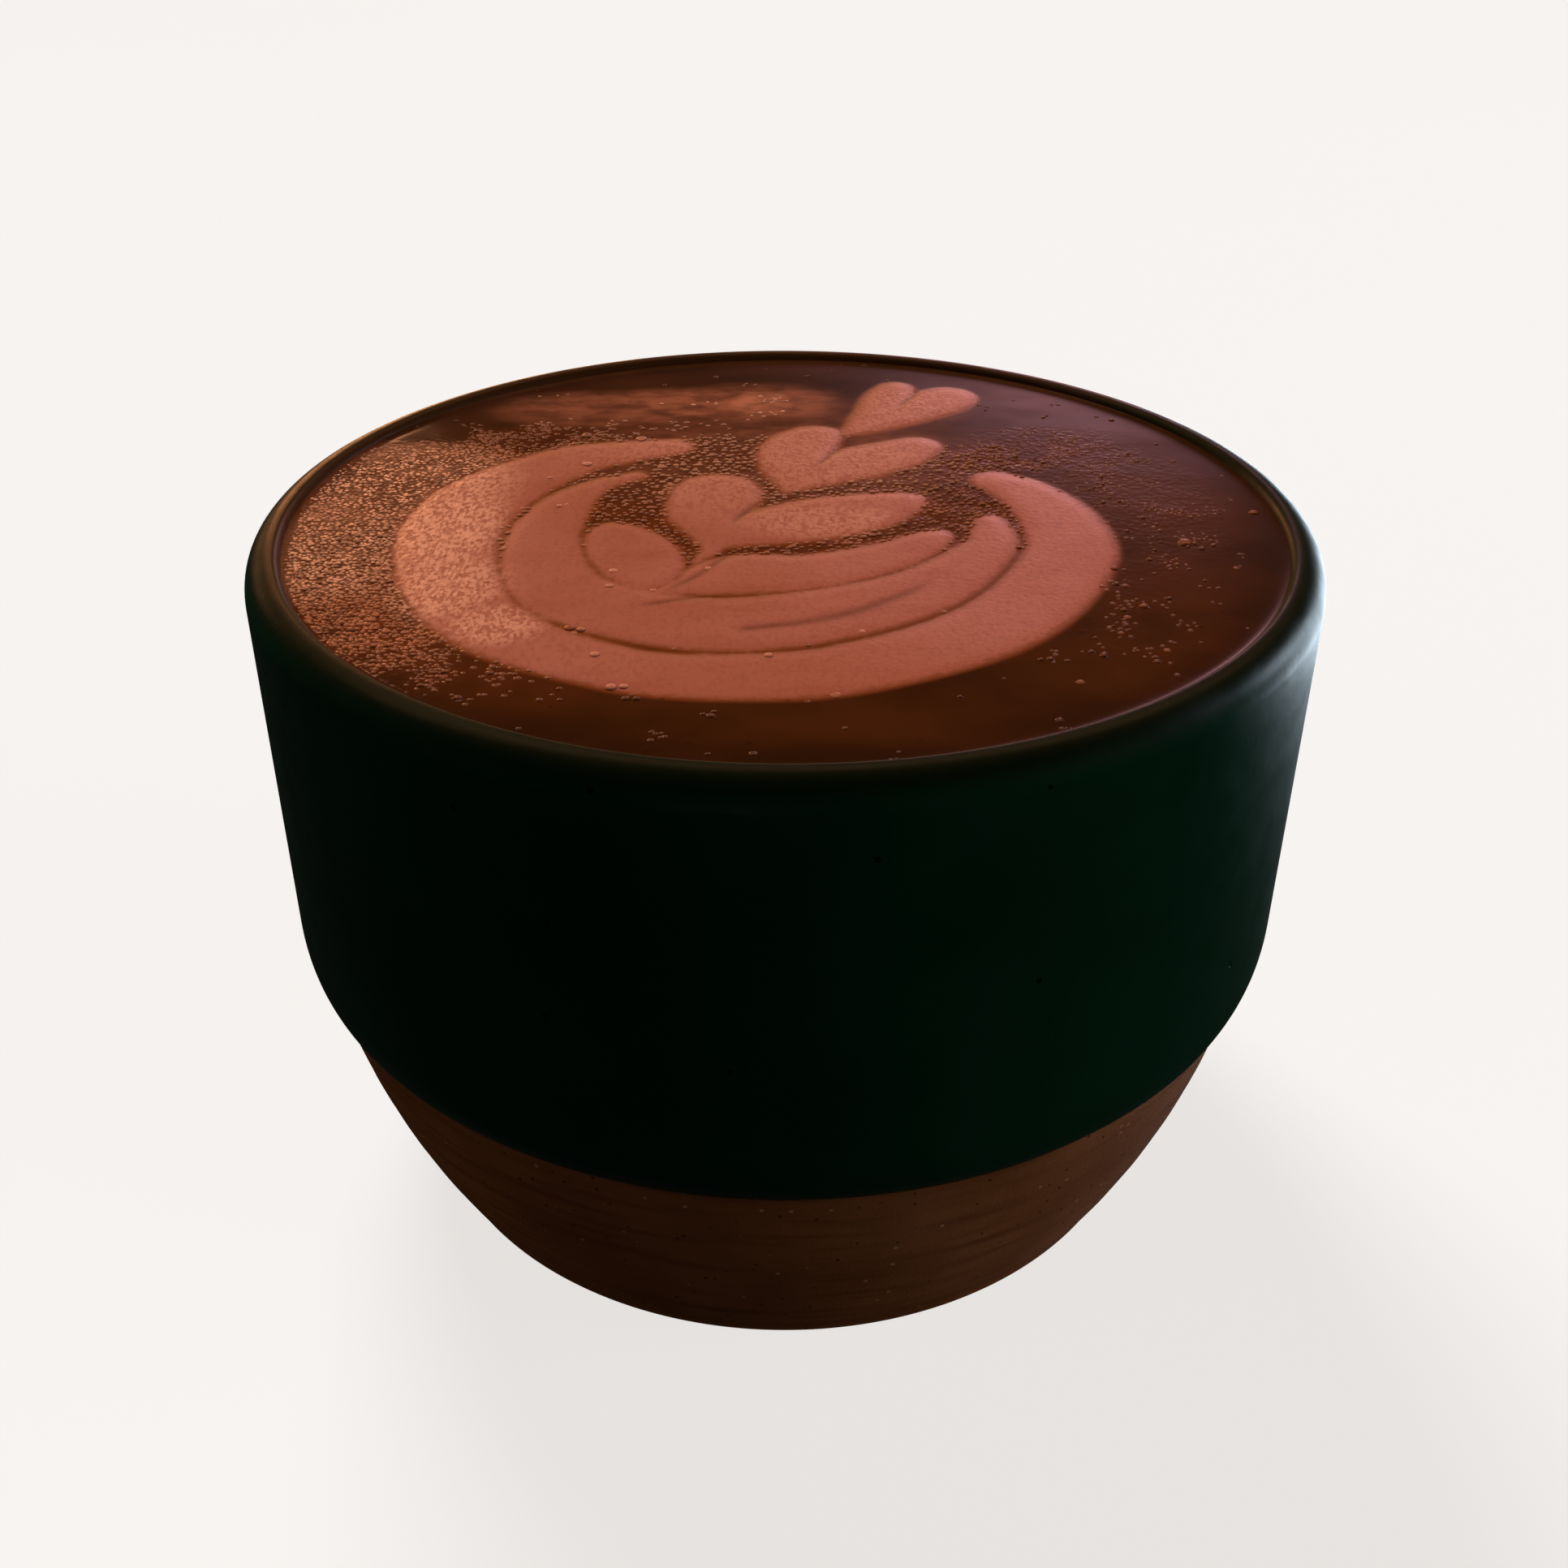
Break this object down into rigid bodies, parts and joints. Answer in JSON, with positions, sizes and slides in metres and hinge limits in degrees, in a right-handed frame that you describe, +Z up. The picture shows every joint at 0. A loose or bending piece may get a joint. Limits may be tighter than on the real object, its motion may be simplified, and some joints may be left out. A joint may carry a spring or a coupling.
{
  "type": "caffe mocha in a cup",
  "caption": "Caffe mocha with a poured milk figure, filled to the brim of a handleless green-glazed stoneware cup with a raw clay foot.",
  "frame": {"origin": "centre of the foot ring's underside, on the surface that the cup stands on", "axes": "+Z up along the cup's axis, -Y towards the side the drink is served to; the milk figure's stem starts at -X and its hearts lean to +X and +Y"},
  "size_m": [0.09, 0.09, 0.0616],
  "materials": {
    "glaze": "satin",
    "raw_clay": "matte",
    "drink": "satin",
    "milk_foam": "matte"
  },
  "bodies": {
    "root": {"cup": "glaze", "mocha": "drink"}
  },
  "joints": []
}
